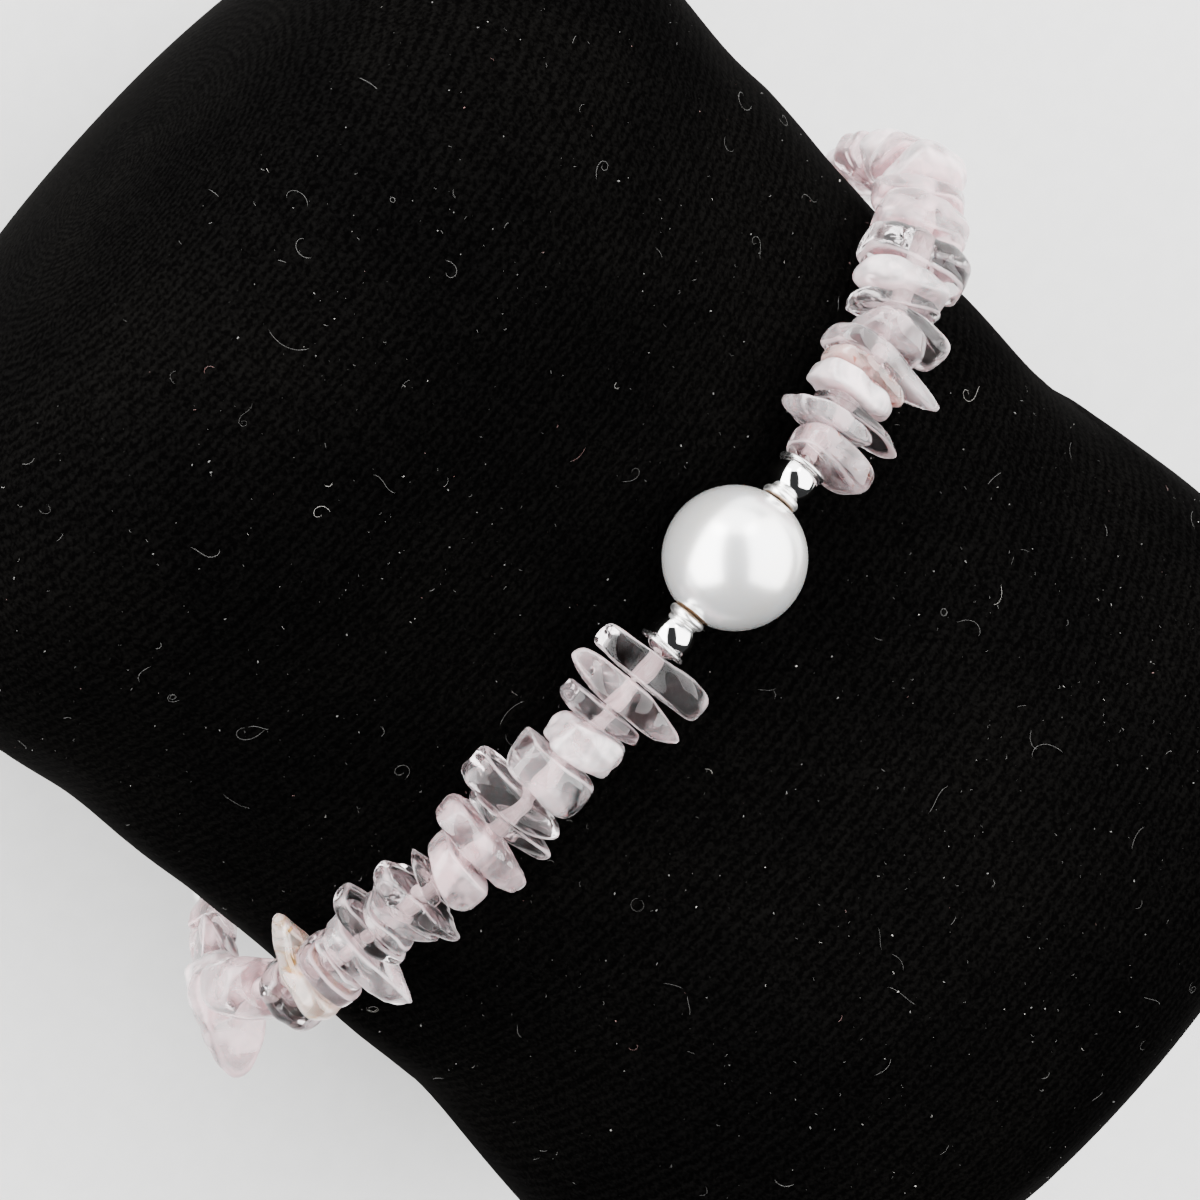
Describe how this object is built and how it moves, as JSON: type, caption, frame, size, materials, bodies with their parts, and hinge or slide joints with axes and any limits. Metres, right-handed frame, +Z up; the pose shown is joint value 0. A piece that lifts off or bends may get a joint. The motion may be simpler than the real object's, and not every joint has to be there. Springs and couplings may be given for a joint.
{
  "type": "chip bead bracelet on display pillow",
  "caption": "Bracelet of tumbled rose quartz chips with a round pearl between silver beads, worn round a waisted velvet display pillow that lies flat.",
  "frame": {"origin": "on the flat that the pillow lies on, under the middle of the pillow", "axes": "+Z up through the pearl's side, +Y along the pillow, +X across it, towards the longer visible strand"},
  "size_m": [0.083, 0.1038, 0.0541],
  "materials": {
    "velvet": "black ribbed velvet",
    "pearl": "white nacre, lustrous",
    "silver": "mirror-polished silver plate",
    "rose_quartz": "polished, cloudy, pale pink",
    "clear_quartz": "polished, clear",
    "thread": "pale beading thread"
  },
  "bodies": {
    "root": {"ball_left": "silver", "ball_right": "silver", "chain_left": "silver", "chain_right": "silver", "chip_left_01": "rose_quartz", "chip_left_02": "rose_quartz", "chip_left_03": "clear_quartz", "chip_left_04": "rose_quartz", "chip_left_05": "rose_quartz", "chip_left_06": "rose_quartz", "chip_left_07": "rose_quartz", "chip_left_08": "clear_quartz", "chip_left_09": "clear_quartz", "chip_left_10": "rose_quartz", "chip_left_11": "clear_quartz", "chip_left_12": "rose_quartz", "chip_left_13": "rose_quartz", "chip_left_14": "rose_quartz", "chip_left_15": "rose_quartz", "chip_left_16": "rose_quartz", "chip_left_17": "rose_quartz", "chip_right_01": "clear_quartz", "chip_right_02": "clear_quartz", "chip_right_03": "rose_quartz", "chip_right_04": "rose_quartz", "chip_right_05": "rose_quartz", "chip_right_06": "clear_quartz", "chip_right_07": "clear_quartz", "chip_right_08": "rose_quartz", "chip_right_09": "rose_quartz", "chip_right_10": "clear_quartz", "chip_right_11": "clear_quartz", "chip_right_12": "rose_quartz", "chip_right_13": "clear_quartz", "chip_right_14": "clear_quartz", "chip_right_15": "rose_quartz", "chip_right_16": "clear_quartz", "chip_right_17": "clear_quartz", "chip_right_18": "rose_quartz", "chip_right_19": "clear_quartz", "chip_right_20": "rose_quartz", "chip_right_21": "rose_quartz", "chip_right_22": "rose_quartz", "chip_right_23": "rose_quartz", "chips_hidden_left_1": "rose_quartz", "chips_hidden_left_2": "rose_quartz", "chips_hidden_right_1": "rose_quartz", "display_pillow": "velvet", "end_bead_left": "silver", "end_bead_right": "silver", "pearl": "pearl", "slider_bead": "silver", "spacer_left": "silver", "spacer_right": "silver", "thread": "thread", "washer_left": "silver", "washer_right": "silver"}
  },
  "joints": []
}
